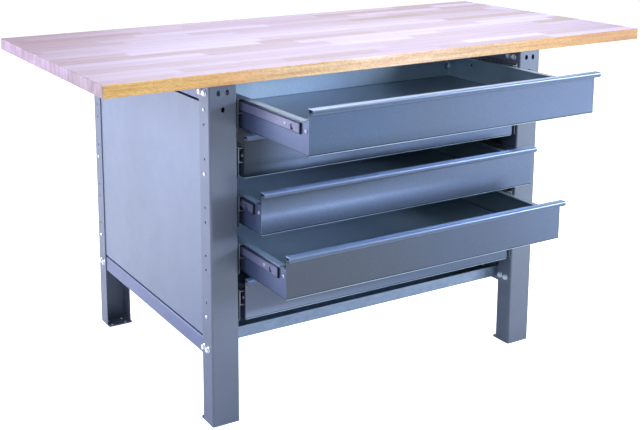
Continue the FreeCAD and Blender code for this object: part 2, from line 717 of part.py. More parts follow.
for number, opening in enumerate(DRAWER_OPEN):
    level = slide_level(number)
    front_face = -HALF_D - opening
    label = str(number + 1)
    add("tray_" + label, tray(front_face, level))
    add("drawer_front_" + label, drawer_front(front_face, level))
    add("drawer_screws_" + label, drawer_screws(front_face, level))
    add("slide_outer_" + label, both_sides([outer_slide(level)]))
    add("slide_middle_" + label, both_sides([ball_cage(level, opening)]))
    add("slide_inner_" + label, both_sides([inner_slide(level, opening)]))


# ---- write one file for each node ----------------------------------------------------------

for name, shape in nodes.items():
    shape.exportStep("parts/%s.step" % name)
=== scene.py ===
import math
import random

import bmesh
import bpy
from mathutils import Matrix, Vector


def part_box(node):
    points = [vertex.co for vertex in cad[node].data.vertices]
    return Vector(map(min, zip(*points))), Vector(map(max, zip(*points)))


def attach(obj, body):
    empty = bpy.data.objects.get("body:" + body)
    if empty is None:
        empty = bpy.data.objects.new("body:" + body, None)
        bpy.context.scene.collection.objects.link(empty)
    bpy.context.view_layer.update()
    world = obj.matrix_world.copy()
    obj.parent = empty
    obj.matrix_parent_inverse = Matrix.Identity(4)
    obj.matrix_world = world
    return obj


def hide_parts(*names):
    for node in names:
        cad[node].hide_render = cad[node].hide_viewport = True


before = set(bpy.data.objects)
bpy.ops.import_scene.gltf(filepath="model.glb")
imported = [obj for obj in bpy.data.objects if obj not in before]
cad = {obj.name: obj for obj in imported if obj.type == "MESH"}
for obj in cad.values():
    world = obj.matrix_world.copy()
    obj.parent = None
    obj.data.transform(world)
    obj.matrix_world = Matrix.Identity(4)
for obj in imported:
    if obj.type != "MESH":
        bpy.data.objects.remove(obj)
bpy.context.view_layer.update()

# ---- worktop -------------------------------------------------------------------------------------
# A slab of beech staves glued side by side and finger-jointed end to end, planed and sanded.
# The working face is painted pale and lilac for the glare of light on it, the ends less so; the
# long edges keep the wood's warm tone.


def node(tree, kind, inputs=None, **settings):
    """A shader node; each input takes a value, or another node's output that is linked to it."""
    made = tree.nodes.new("ShaderNode" + kind)
    for key, value in settings.items():
        setattr(made, key, value)
    for key, value in (inputs or {}).items():
        if isinstance(value, bpy.types.NodeSocket):
            tree.links.new(value, made.inputs[key])
        else:
            made.inputs[key].default_value = value
    return made


def calc(tree, operation, a, b=0.0):
    """The result of one sum on two values or outputs."""
    return node(tree, "Math", {0: a, 1: b}, operation=operation).outputs[0]


def blend(tree, factor, a, b, mode="MIX"):
    """Two colours mixed by a factor."""
    mix = node(tree, "Mix", data_type="RGBA", blend_type=mode)
    for socket, value in ((mix.inputs[0], factor), (mix.inputs[6], a), (mix.inputs[7], b)):
        if isinstance(value, bpy.types.NodeSocket):
            tree.links.new(value, socket)
        else:
            socket.default_value = value
    return mix.outputs[2]


def shade(tree, colour, *layers, amount=1.0):
    """A colour multiplied by one layer after the other."""
    for layer in layers:
        colour = blend(tree, amount, colour, layer, "MULTIPLY")
    return colour


def ramp(tree, value, *stops):
    """A colour ramp with a stop for each (place, grey level or colour)."""
    made = node(tree, "ValToRGB", {0: value})
    elements = made.color_ramp.elements
    while len(elements) < len(stops):
        elements.new(0.5)
    for element, (place, colour) in zip(elements, stops):
        element.position = place
        element.color = tuple(colour) + (1,) if isinstance(colour, tuple) else (colour,) * 3 + (1,)
    return made.outputs[0]


def spot(tree, stretch=(1, 1, 1)):
    """The surface point in the piece's own coordinates, scaled along its axes."""
    return node(tree, "Mapping", {"Vector": node(tree, "TexCoord").outputs["Object"],
                                  "Scale": stretch}).outputs[0]


def grain(tree, scale, detail=4.0, stretch=(1, 1, 1), rough=0.5):
    """Noise over the piece, stretched along its axes."""
    return node(tree, "TexNoise", {"Vector": spot(tree, stretch), "Scale": scale, "Detail": detail,
                                   "Roughness": rough}).outputs[0]


def shader(name, surface_values):
    """A new node material, with these values set on its surface shader's own sockets."""
    material = bpy.data.materials.new(name)
    material.use_nodes = True
    surface = material.node_tree.nodes["Principled BSDF"]
    for key, value in surface_values.items():
        surface.inputs[key].default_value = value
    return material, material.node_tree, surface


def feed(tree, surface, colour, roughness, height, depth, rounded=None):
    """Links colour, roughness and a bump of the given depth in metres to the surface shader."""
    tree.links.new(colour, surface.inputs["Base Color"])
    tree.links.new(roughness, surface.inputs["Roughness"])
    bump = node(tree, "Bump", {"Height": height, "Distance": depth, "Strength": 1.0})
    if rounded:
        tree.links.new(rounded, bump.inputs["Normal"])
    tree.links.new(bump.outputs[0], surface.inputs["Normal"])


def paint(material, *names):
    """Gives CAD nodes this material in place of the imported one."""
    for name in names:
        cad[name].data.materials.clear()
        cad[name].data.materials.append(material)


FRONT_EDGE, REAR_EDGE = -0.383, 0.367
STAVE_WIDE, STAVE_SHORTEST, STAVE_SPREAD = 0.044, 0.24, 0.22
FINGER_PITCH, FINGER_SLOPE = 0.0037, 2.4

wood, tree, surface = shader("beech staves", {"Roughness": 0.5})
x, y, _ = node(tree, "SeparateXYZ", {0: spot(tree)}).outputs
lengthwise = calc(tree, "ADD", calc(tree, "MULTIPLY", x, 0.6), 0.5)
from_front = calc(tree, "SUBTRACT", y, FRONT_EDGE)
row = calc(tree, "FLOOR", calc(tree, "DIVIDE", from_front, STAVE_WIDE))
row_luck = node(tree, "TexWhiteNoise", {"W": row}, noise_dimensions="1D").outputs["Value"]
fingers = calc(tree, "MULTIPLY", calc(tree, "PINGPONG", y, FINGER_PITCH), FINGER_SLOPE)
length = calc(tree, "ADD", calc(tree, "MULTIPLY", row_luck, STAVE_SPREAD), STAVE_SHORTEST)
row_start = calc(tree, "MULTIPLY", row_luck, 7.3)
along = calc(tree, "ADD", calc(tree, "ADD", x, fingers), row_start)
stave = calc(tree, "FLOOR", calc(tree, "DIVIDE", along, length))
piece = calc(tree, "ADD", stave, calc(tree, "MULTIPLY", row, 57.0))
luck = node(tree, "TexWhiteNoise", {"W": piece}, noise_dimensions="1D").outputs["Value"]
# Each stave's tone differs at random; the pale lilac of these tones is partly a painted glare of
# the light on the top.
face_tone = ramp(tree, luck, (0.0, (0.42, 0.32, 0.30)), (0.12, (0.47, 0.37, 0.44)),
                 (0.5, (0.52, 0.43, 0.54)), (0.85, (0.57, 0.49, 0.65)), (1.0, (0.60, 0.53, 0.72)))

fibre = grain(tree, 9.0, 6.0, (0.6, 14.0, 14.0), 0.6)
fine = grain(tree, 60.0, 3.0, (0.5, 10.0, 10.0), 0.6)
fleck = grain(tree, 110.0, 3.0, (1, 2.5, 2.5), 0.6)
figure = shade(tree, ramp(tree, fibre, (0.3, 0.84), (0.7, 1.06)),
               ramp(tree, fleck, (0.35, 0.95), (0.65, 1.04)))
glue_line = ramp(tree, calc(tree, "PINGPONG", from_front, STAVE_WIDE / 2),
                 (0.0, 0.80), (0.0012, 1.0))
# The slow changes of tone along and across the face are painted in; they stand in for what it
# mirrors of a room.
painted_reflection_on_top = ramp(tree, lengthwise,
                (0.05, (0.77, 0.75, 0.77)), (0.29, (0.83, 0.85, 0.90)), (0.50, (0.87, 0.90, 1.03)),
                (0.68, (0.91, 0.955, 1.035)), (0.98, (0.925, 0.97, 1.12)))
near_front = ramp(tree, calc(tree, "ADD", y, 0.5), (0.12, 1.07), (0.30, 1.03), (0.45, 1.02),
                  (0.65, (0.91, 0.89, 0.89)), (0.83, (0.86, 0.79, 0.79)))
# A painted shade darkens the top along its back arris.
back_arris_shade = ramp(tree, calc(tree, "SUBTRACT", REAR_EDGE, y), (0.003, 0.72), (0.008, 1.0))
top_colour = shade(tree, shade(tree, face_tone, figure, amount=0.8), painted_reflection_on_top)
top_colour = shade(tree, shade(tree, top_colour, glue_line, amount=0.8), near_front, back_arris_shade)

edge_tone = ramp(tree, fibre, (0.28, (0.66, 0.32, 0.095)), (0.5, (0.84, 0.48, 0.165)),
             (0.72, (0.95, 0.62, 0.26)))
sawn = ramp(tree, grain(tree, 150.0, 4.0, (1, 1, 2.6), 0.65),
            (0.34, (0.80, 0.75, 0.68)), (0.66, (1.09, 1.11, 1.16)))
# The edge's change of tone from left to right is painted in, for the light that it mirrors.
peach = ramp(tree, lengthwise,
             (0.05, (0.79, 0.82, 0.71)), (0.17, (0.80, 0.81, 0.76)), (0.26, (0.93, 0.93, 1.18)),
             (0.38, (1.08, 1.28, 1.93)), (0.47, (1.23, 1.41, 2.54)), (0.56, (1.19, 1.37, 2.44)),
             (0.62, (1.05, 1.18, 1.90)), (0.71, (0.85, 0.88, 1.06)), (0.80, (0.70, 0.66, 0.55)),
             (0.89, (0.57, 0.49, 0.35)), (0.98, (0.51, 0.40, 0.24)))
edge_tone = shade(tree, edge_tone, sawn, peach)

rings = ramp(tree, grain(tree, 45.0, 3.0, (1, 1, 0.5)), (0.36, 0.76), (0.64, 1.14))
block_tone = ramp(tree, row_luck, (0.0, (0.84, 0.82, 0.80)), (1.0, (1.10, 1.10, 1.12)))
# Painted light along the end: darker at the front, lighter towards the back.
painted_light_along_end = ramp(tree, calc(tree, "ADD", calc(tree, "MULTIPLY", y, 1.2), 0.5),
                (0.05, (0.72, 0.60, 0.48)), (0.35, (0.78, 0.66, 0.62)), (0.95, (0.84, 0.70, 0.72)))
pores = ramp(tree, grain(tree, 170.0, 3.0, (1, 1.4, 0.7)), (0.32, 0.80), (0.66, 1.1))
end_grain = shade(tree, blend(tree, 0.45, face_tone, (0.28, 0.17, 0.22, 1)), pores, amount=0.7)
end_grain = shade(tree, end_grain, rings, block_tone, painted_light_along_end)

# Top, long edges and ends are told apart by the way they face, so they are lit copies of one wood:
# the top's paler tone is painted glare.
facing = node(tree, "SeparateXYZ", {0: node(tree, "TexCoord").outputs["Normal"]}).outputs
colour = blend(tree, calc(tree, "ABSOLUTE", facing[1]), top_colour, edge_tone)
colour = blend(tree, calc(tree, "ABSOLUTE", facing[0]), colour, end_grain)
feed(tree, surface, colour, ramp(tree, fine, (0.3, 0.42), (0.7, 0.58)), fine, 0.0002)
paint(wood, "worktop")


# ---- worktop screws ------------------------------------------------------------------------------
# Six cross-recessed wood screws of zinc-plated steel, driven up through the top end rails.
# Their heads sit under the rails' webs and their threads are in the slab.


def zinc_plate(name, tone, rough=0.28, metallic=0.9):
    """Bright zinc plate: a metal skin with faint cloudy passivation and small scratches."""
    material, tree, surface = shader(name, {"Metallic": metallic})
    cloud = grain(tree, 90.0, 4.0)
    dark = tuple(c * 0.82 for c in tone)
    warm = (tone[0], tone[1] * 0.97, tone[2] * 0.90)
    colour = ramp(tree, cloud, (0.3, dark), (0.5, tone), (0.72, warm))
    scratches = grain(tree, 700.0, 3.0, (1, 0.15, 1))
    gloss = ramp(tree, cloud, (0.3, rough + 0.12), (0.7, rough - 0.05))
    feed(tree, surface, colour, gloss, scratches, 0.00003)
    return material


def loose_parts(name):
    """The corner points of each separate solid in a CAD node."""
    shape = bmesh.new()
    shape.from_mesh(cad[name].data)
    bmesh.ops.remove_doubles(shape, verts=shape.verts, dist=1e-6)
    unseen = dict.fromkeys(shape.verts)
    parts = []
    while unseen:
        edge_of_part = [unseen.popitem()[0]]
        part = []
        while edge_of_part:
            corner = edge_of_part.pop()
            part.append(corner.co.copy())
            for edge in corner.link_edges:
                other = edge.other_vert(corner)
                if other in unseen:
                    del unseen[other]
                    edge_of_part.append(other)
        parts.append(part)
    shape.free()
    return parts


def fastener(points):
    """Seat, direction and sizes of a screw or bolt, measured on its corner points."""
    low = Vector([min(p[i] for p in points) for i in range(3)])
    high = Vector([max(p[i] for p in points) for i in range(3)])
    spans = high - low
    axis = min(range(3), key=lambda i: abs(spans[(i + 1) % 3] - spans[(i + 2) % 3]))
    middle = (low + high) / 2

    def radius(p):
        return math.hypot(p[(axis + 1) % 3] - middle[(axis + 1) % 3],
                          p[(axis + 2) % 3] - middle[(axis + 2) % 3])

    head_radius = max(radius(p) for p in points)
    rim = [p[axis] for p in points if radius(p) > head_radius * 0.98]
    sign = 1 if sum(rim) / len(rim) > middle[axis] else -1
    seat_height = min(rim) if sign > 0 else max(rim)
    way = Vector([sign if i == axis else 0 for i in range(3)])
    seat = middle.copy()
    seat[axis] = seat_height
    tip = low[axis] if sign > 0 else high[axis]
    crown = high[axis] if sign > 0 else low[axis]
    shank = max(radius(p) for p in points if abs(p[axis] - tip) < 1e-5)
    return {"seat": seat, "way": way, "head": head_radius, "height": abs(crown - seat_height),
            "shank": shank, "length": abs(seat_height - tip)}


def lathe(shape, rings, seat, way, sides, phase=0.0):
    """Adds a turned form; a ring is (radius, height), and a radius may change with the angle."""
    turn = Vector((0, 0, 1)).rotation_difference(way).to_matrix()
    layers = []
    for size, height in rings:
        layer = []
        for i in range(sides):
            angle = math.tau * i / sides + phase
            reach = size(angle) if callable(size) else size
            corner = Vector((reach * math.cos(angle), reach * math.sin(angle), height))
            layer.append(shape.verts.new(seat + turn @ corner))
        layers.append(layer)
    for below, above in zip(layers, layers[1:]):
        for i in range(sides):
            j = (i + 1) % sides
            shape.faces.new((below[i], below[j], above[j], above[i]))
    shape.faces.new(layers[0][::-1])
    shape.faces.new(layers[-1])


THREAD_PITCH = 0.0009


def threaded(fit):
    """Rings for a shank with thread ridges, from its tip up to the seat."""
    turns = max(2, int(fit["length"] / THREAD_PITCH))
    step = fit["length"] / turns
    rings = []
    for i in range(turns):
        rings.append((fit["shank"] * 0.84, -fit["length"] + step * (i + 0.02)))
        rings.append((fit["shank"], -fit["length"] + step * (i + 0.5)))
    return rings


def cross_recess(arm, half_width):
    """A cross outline: its radius at each angle."""
    def reach(angle):
        folded = abs((angle + math.pi / 4) % (math.pi / 2) - math.pi / 4)
        return min(arm / math.cos(folded), half_width / max(math.sin(folded), 1e-6))
    return reach


def screw_rings(fit):
    """A domed head with a cross recess, over a threaded shank."""
    head, height = fit["head"], fit["height"]
    arm, width = head * 0.52, head * 0.17
    return threaded(fit) + [
        (fit["shank"], -0.00002), (head * 0.97, 0), (head, height * 0.12), (head, height * 0.42),
        (head * 0.93, height * 0.66), (head * 0.78, height * 0.86), (head * 0.60, height * 0.97),
        (cross_recess(arm, width), height), (cross_recess(arm * 0.86, width * 0.8), height * 0.45),
        (width * 0.5, height * 0.30)]


def screws(name, body, material, sides=24):
    """Replaces a node of plain screws with screws that have a recess and a thread."""
    shape = bmesh.new()
    for points in loose_parts(name):
        fit = fastener(points)
        lathe(shape, screw_rings(fit), fit["seat"], fit["way"], sides, random.random())
    made = piece_from(shape, name + "_detailed", body, material, 35)
    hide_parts(name)


def piece_from(shape, name, body, material, smooth_angle=40):
    """Makes a scene piece from mesh code and lets it ride on a body."""
    bmesh.ops.recalc_face_normals(shape, faces=shape.faces)
    mesh = bpy.data.meshes.new(name)
    shape.to_mesh(mesh)
    shape.free()
    mesh.materials.append(material)
    for polygon in mesh.polygons:
        polygon.use_smooth = True
    mesh.set_sharp_from_angle(angle=math.radians(smooth_angle))
    made = bpy.data.objects.new(name, mesh)
    bpy.context.scene.collection.objects.link(made)
    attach(made, body)
    return made


random.seed(7)
white_zinc = zinc_plate("white zinc", (0.92, 0.93, 0.95), 0.30, 0.65)
screws("worktop_screws", "frame", white_zinc)


# ---- legs ----------------------------------------------------------------------------------------
# Four channels folded from 2.5 mm steel sheet, web outward, in semi-gloss slate powder coat.
# Openings near the top take uprights, and rows of small holes take the panels and the drawers.


def rounded_edges(tree, radius):
    """A normal that rounds the piece's edges."""
    return node(tree, "Bevel", {"Radius": radius}, samples=4).outputs[0]


def along_edges(tree, rounded):
    """A mask that is white where the rounded normal turns away from the flat face."""
    flat = node(tree, "NewGeometry").outputs["Normal"]
    alike = node(tree, "VectorMath", {0: rounded, 1: flat}, operation="DOT_PRODUCT")
    return ramp(tree, alike.outputs["Value"], (0.82, 1.0), (0.98, 0.0))


def powder_coat(name, tone, rough=0.36, edge=0.45, sheet_grain=(1, 1, 1)):
    """Powder coat: orange peel, slight changes of tone over the sheet, and rubbed edges."""
    material, tree, surface = shader(name, {"Metallic": 0.2, "Specular IOR Level": 0.5})
    broad = grain(tree, 3.5, 3.0, sheet_grain)
    dark = tuple(c * 0.92 for c in tone)
    light = tuple(min(1.0, c * 1.07) for c in tone)
    colour = ramp(tree, broad, (0.32, dark), (0.68, light))
    speck = ramp(tree, grain(tree, 260.0, 2.0), (0.35, 0.93), (0.65, 1.05))
    colour = shade(tree, colour, speck, amount=0.8)
    rounded = rounded_edges(tree, 0.0008)
    touched = ramp(tree, grain(tree, 40.0, 4.0), (0.45, 0.15), (0.62, 1.0))
    rub = calc(tree, "MULTIPLY", along_edges(tree, rounded), touched)
    bare = tuple(min(1.0, c * 1.5 + 0.10) for c in tone) + (1,)
    colour = blend(tree, calc(tree, "MULTIPLY", rub, edge), colour, bare)
    gloss = ramp(tree, grain(tree, 14.0, 3.0), (0.3, rough - 0.05), (0.7, rough + 0.06))
    feed(tree, surface, colour, gloss, grain(tree, 650.0, 2.0), 0.00004, rounded)
    return material


FRAME_TONE = (0.129, 0.151, 0.200)
leg_paint = powder_coat("leg paint", FRAME_TONE)
paint(leg_paint, "leg_front_left", "leg_front_right", "leg_rear_left", "leg_rear_right")


# ---- foot plates ---------------------------------------------------------------------------------
# A flat 3 mm plate under each leg, painted with it, scuffed by floors and anchor washers.
# Each is joined to its leg by a weld run along the inside of the channel.

foot_paint = powder_coat("foot paint", FRAME_TONE, 0.44, edge=0.9)
paint(foot_paint, "foot_plate_front_left", "foot_plate_front_right",
      "foot_plate_rear_left", "foot_plate_rear_right")


BEAD, RIPPLE_STEP = 0.0022, 0.0011
SUNK = BEAD * 0.4
INNER, OUTER, WEB, FLANGE_TIP = 0.4265 + SUNK, 0.4935 - SUNK, 0.3625 - SUNK, 0.318
PLATE_THICK, CORNER = 0.003, 0.003


def weld_bead(shape, path, radius, sides=8):
    """Adds a rippled weld run along a line of points, its two ends tapered."""
    points = []
    for a, b in zip(path, path[1:]):
        steps = max(2, int((b - a).length / RIPPLE_STEP))
        points += [a.lerp(b, i / steps) for i in range(steps)]
    points.append(path[-1])
    layers = []
    for i, point in enumerate(points):
        ahead = (points[min(i + 1, len(points) - 1)] - points[max(i - 1, 0)]).normalized()
        across = ahead.cross(Vector((0, 0, 1)))
        ripple = 1 + 0.10 * math.sin(i * math.tau / 3)
        taper = min(1.0, 0.35 + min(i, len(points) - 1 - i) * 0.3)
        size = radius * ripple * taper
        layers.append([shape.verts.new(point + across * size * math.cos(math.tau * k / sides)
                                       + Vector((0, 0, size * math.sin(math.tau * k / sides))))
                       for k in range(sides)])
    for below, above in zip(layers, layers[1:]):
        for k in range(sides):
            j = (k + 1) % sides
            shape.faces.new((below[k], below[j], above[j], above[k]))
    shape.faces.new(layers[0][::-1])
    shape.faces.new(layers[-1])


beads = bmesh.new()
level = PLATE_THICK + BEAD * 0.35
run = ((INNER, FLANGE_TIP), (INNER, WEB - CORNER), (INNER + CORNER, WEB),
       (OUTER - CORNER, WEB), (OUTER, WEB - CORNER), (OUTER, FLANGE_TIP))
for side in (-1, 1):
    for end in (-1, 1):
        weld_bead(beads, [Vector((side * across, end * back, level)) for across, back in run], BEAD)
piece_from(beads, "foot_welds", "frame", foot_paint, 60)


# ---- end rails -----------------------------------------------------------------------------------
# Upside-down channels of 2 mm sheet that fit between the legs' flanges, two at each end.
# They are painted like the legs before they are bolted in.

rail_paint = powder_coat("rail paint", (0.131, 0.156, 0.250), sheet_grain=(1, 0.3, 1))
paint(rail_paint, "top_end_rail_left", "top_end_rail_right",
      "bottom_end_rail_left", "bottom_end_rail_right")


# ---- frame bolts and weld nuts -------------------------------------------------------------------
# M8 flanged hexagon bolts of white zinc, two at each crossing of leg and rail, inside and out.
# Their nuts are square weld nuts on the rails' inner faces.

HALF_FLATS = 0.006


def hexagon(angle):
    """A hexagon outline: its radius at each angle."""
    folded = (angle + math.pi / 6) % (math.pi / 3) - math.pi / 6
    return HALF_FLATS / math.cos(folded)


def bolt_rings(fit):
    """A chamfered hexagon head on a sloping flange, over a threaded shank."""
    flange, height = fit["head"], fit["height"]
    return threaded(fit) + [
        (fit["shank"], -0.00002), (flange * 0.985, 0), (flange, 0.0004), (flange * 0.985, 0.0010),
        (HALF_FLATS * 1.16, 0.0016), (hexagon, 0.0019), (hexagon, height - 0.0007),
        (HALF_FLATS * 0.985, height - 0.0001), (HALF_FLATS * 0.90, height),
        (HALF_FLATS * 0.55, height), (HALF_FLATS * 0.45, height - 0.0004)]


bolts = bmesh.new()
for points in loose_parts("frame_bolts"):
    fit = fastener(points)
    phase = random.choice((0.0, 0.17, 0.35, 0.52, 0.8))
    lathe(bolts, bolt_rings(fit), fit["seat"], fit["way"], 36, phase)
made = piece_from(bolts, "frame_bolts_detailed", "frame", white_zinc, 28)
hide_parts("frame_bolts")
nut_zinc = zinc_plate("nut zinc", (0.66, 0.67, 0.68), 0.4)
paint(nut_zinc, "rail_nuts")


# ---- side panels ---------------------------------------------------------------------------------
# One sheet of 1 mm steel at each end, behind the legs' outer flanges, in the same slate coat.
# Three screws along each upright edge hold it to the legs' flanges.

panel_paint = powder_coat("panel paint", (0.168, 0.199, 0.265), 0.34, sheet_grain=(1, 1, 0.5))
paint(panel_paint, "side_panel_left", "side_panel_right")
screws("panel_screws", "frame", white_zinc)


# ---- back panel ----------------------------------------------------------------------------------
# One sheet between the rear legs, folded back along their flanges and screwed from inside.
# It has the frame's coat, and closes the bench behind the drawers.

back_paint = powder_coat("back panel paint", FRAME_TONE, sheet_grain=(0.5, 1, 1))
paint(back_paint, "back_panel")
screws("back_screws", "frame", white_zinc)


# ---- bottom pan ----------------------------------------------------------------------------------
# A shallow tray of galvanised sheet, screwed between the bottom rails. Its front edge shows.
# The zinc has the flat patchy crystals of hot-dip coating, and fine lines from rolling.

PAN_TONE, PAN_ROUGH = (0.213, 0.275, 0.37), 0.36

pan_zinc, tree, surface = shader("galvanised sheet", {"Metallic": 0.75})
crystal = node(tree, "TexVoronoi", {"Vector": spot(tree, (1, 1.6, 1.6)), "Scale": 70.0,
                                    "Randomness": 1.0})
luck = node(tree, "SeparateXYZ", {0: crystal.outputs["Color"]}).outputs[0]
colour = ramp(tree, luck, (0.0, tuple(c * 0.92 for c in PAN_TONE)), (0.5, PAN_TONE),
              (1.0, tuple(c * 1.07 for c in PAN_TONE)))
cloud = ramp(tree, grain(tree, 16.0, 4.0), (0.3, 0.95), (0.7, 1.04))
colour = shade(tree, colour, cloud, amount=0.9)
gloss = ramp(tree, luck, (0.0, PAN_ROUGH + 0.10), (1.0, PAN_ROUGH - 0.06))
rolled = grain(tree, 300.0, 2.0, (0.05, 1, 1))
feed(tree, surface, colour, gloss, rolled, 0.00004, rounded_edges(tree, 0.0006))
paint(pan_zinc, "bottom_pan")
screws("pan_screws", "frame", white_zinc)


# ---- slide carriers ------------------------------------------------------------------------------
# Strips of 1.5 mm sheet from the front to the rear legs, one for each slide, in the frame's coat.
# A screw at each end fixes the strip to a leg, and its slide is screwed to it.

carrier_paint = powder_coat("carrier paint", FRAME_TONE, 0.38, sheet_grain=(1, 0.3, 1))
paint(carrier_paint, "slide_carriers_left", "slide_carriers_right")
screws("carrier_screws", "frame", white_zinc)


# ---- slides: outer members -----------------------------------------------------------------------
# Cold-rolled channels in bright zinc plate, screwed to the carriers with low-headed screws.
# The raceways have a thin film of grease that catches dust.


def within_box(tree):
    """Where the point is in the piece's own box, from 0 to 1 along x, y and z."""
    return node(tree, "SeparateXYZ", {0: node(tree, "TexCoord").outputs["Generated"]}).outputs


def slide_steel(name, tone, grease, metallic=0.85, shaded_grooves=False):
    """Bright-plated strip steel: drawing lines along its length, grease stains near the balls, and,
    if asked, painted shade along its grooves and at its front end.
    """
    material, tree, surface = shader(name, {"Metallic": metallic})
    lines = grain(tree, 260.0, 3.0, (1, 0.03, 1))
    stain = ramp(tree, grain(tree, 22.0, 4.0, (1, 0.4, 1)), (0.42, 1.0), (0.70, 1.0 - grease))
    colour = ramp(tree, lines, (0.3, tuple(c * 0.84 for c in tone)), (0.7, tone))
    colour = shade(tree, colour, stain, amount=0.9)
    # Painted shade: darker bands along the top and bottom grooves and at the front end.
    if shaded_grooves:
        share = within_box(tree)
        from_middle = calc(tree, "ABSOLUTE", calc(tree, "SUBTRACT", share[2], 0.5))
        groove_shade = ramp(tree, from_middle, (0.37, 1.0), (0.43, 0.22))
        end = ramp(tree, share[1], (0.004, 0.25), (0.008, 1.0))
        colour = shade(tree, colour, groove_shade, end)
    gloss = ramp(tree, stain, (0.5, 0.5), (1.0, 0.30))
    feed(tree, surface, colour, gloss, lines, 0.00004, rounded_edges(tree, 0.0004))
    return material


outer_steel = slide_steel("slide steel", (0.30, 0.31, 0.35), 0.45, 0.7)
paint(outer_steel, *["slide_outer_%d" % n for n in range(1, 6)])
dull_zinc = zinc_plate("dull zinc", (0.42, 0.43, 0.50), 0.42)
screws("slide_screws", "frame", dull_zinc)


# ---- slides: ball cages --------------------------------------------------------------------------
# A pressed cage in each slide holds a row of hard steel balls at its top and one at its bottom.
# The balls roll between the outer member and the drawer member, so the cage goes half as far.

BALL, BALL_STEP, BALL_ROW, BALL_INSET = 0.0021, 0.0085, 0.01415, 0.0011
FIRST_BALL, LAST_BALL = 0.005, 0.004
CAGE_SHEET, CAGE_HALF, CAGE_FLANGE = 0.001, 0.0147, 0.0077
OUTER_BEND, INNER_BEND = 0.001, 0.0016

ball_steel, tree, surface = shader("ball steel", {"Metallic": 1.0})
wet = grain(tree, 500.0, 2.0)
feed(tree, surface, ramp(tree, wet, (0.3, (0.60, 0.61, 0.63)), (0.7, (0.82, 0.83, 0.85))),
     ramp(tree, wet, (0.3, 0.10), (0.7, 0.20)), wet, 0.00001)
cage_steel = slide_steel("cage steel", (0.55, 0.56, 0.58), 0.6)


def cage_section(tip, web, half):
    """The outline of one cage's folded strip, seen from the front."""
    within = half - CAGE_SHEET
    return [(tip, half), (web - OUTER_BEND, half), (web, half - OUTER_BEND),
            (web, OUTER_BEND - half), (web - OUTER_BEND, -half),
            (tip, -half), (tip, -within), (web - INNER_BEND, -within),
            (web - CAGE_SHEET, INNER_BEND - half), (web - CAGE_SHEET, half - INNER_BEND),
            (web - INNER_BEND, within), (tip, within)]


def drawn_strip(shape, outline, front, rear):
    """Adds a strip whose section is a closed line of (x, z) points, drawn from front to rear."""
    ends = [[shape.verts.new((px, y, pz)) for px, pz in outline] for y in (front, rear)]
    count = len(outline)
    for i in range(count):
        j = (i + 1) % count
        shape.faces.new((ends[0][i], ends[0][j], ends[1][j], ends[1][i]))
    shape.faces.new(ends[0][::-1])
    shape.faces.new(ends[1])


for number in range(1, 6):
    low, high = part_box("slide_middle_%d" % number)
    cage = bmesh.new()
    balls = bmesh.new()
    level = (low[2] + high[2]) / 2
    web = high[0]
    tip = web - CAGE_FLANGE
    for side in (-1, 1):
        section = [(side * px, level + pz) for px, pz in cage_section(tip, web, CAGE_HALF)]
        drawn_strip(cage, section, low[1], high[1])
        for row in (-1, 1):
            place = low[1] + FIRST_BALL
            while place < high[1] - LAST_BALL:
                centre = Vector((side * (tip + BALL_INSET), place, level + row * BALL_ROW))
                bmesh.ops.create_uvsphere(balls, u_segments=12, v_segments=8, radius=BALL,
                                          matrix=Matrix.Translation(centre))
                place += BALL_STEP
    body = "slide_middle_%d" % number
    cage_piece = piece_from(cage, "ball_cage_%d" % number, body, cage_steel, 30)
    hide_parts("slide_middle_%d" % number)
    piece_from(balls, "slide_balls_%d" % number, body, ball_steel, 80)


# ---- slides: drawer members ----------------------------------------------------------------------
# The narrow channel on each drawer's side, with the latch slot near its front end.
# It is rolled from the same strip steel, and screwed to the tray's wall; its grooves and front end
# get a painted shade.

inner_steel = slide_steel("drawer member steel", (0.17, 0.18, 0.28), 0.25, 0.35, True)
paint(inner_steel, *["slide_inner_%d" % n for n in range(1, 6)])


# ---- drawer trays --------------------------------------------------------------------------------
# Folded from 1 mm sheet, with lips along the sides and a lower back that has a notch at each end.
# They have satin blue-grey paint with a metal sheen, less metallic inside, where painted light
# makes the tone lighter.
# A hole in each side reaches a screw of the slide behind it.

TRAY_SHEET, TRAY_BEND, TRAY_HIGH, TRAY_WALL = 0.001, 0.0008, 0.071, 0.406
LIP_WIDE, LIP_SHORT = 0.0176, 0.028
ACCESS_FROM_BACK, ACCESS_UP, ACCESS_RADIUS = 0.103, 0.0477, 0.004
ACCESS_CELL = 0.02
BACK_HIGH, BACK_LIP = 0.066, 0.010
NOTCH_DEEP, NOTCH_LOW, NOTCH_HIGH = 0.011, 0.024, 0.042
BACK_PLAY = 0.0001
BEND_POINTS, HOLE_POINTS = 6, 24
TRAY_OUTSIDE = (0.086, 0.115, 0.198)
# The inside's tone from left to right, with what its floor and walls mirror painted in.
TRAY_INSIDE = ((0.0, (0.44, 0.60, 0.78)), (0.22, (0.66, 0.84, 1.0)), (0.38, (0.56, 0.74, 0.96)),
               (0.56, (0.40, 0.55, 0.74)), (0.75, (0.50, 0.68, 0.80)), (1.0, (0.48, 0.64, 0.74)))
INSIDE_HALF, RIGHT_WALL_FROM = 0.4056, 0.9965
SATIN = {"Metallic": 0.55, "Specular IOR Level": 0.6}


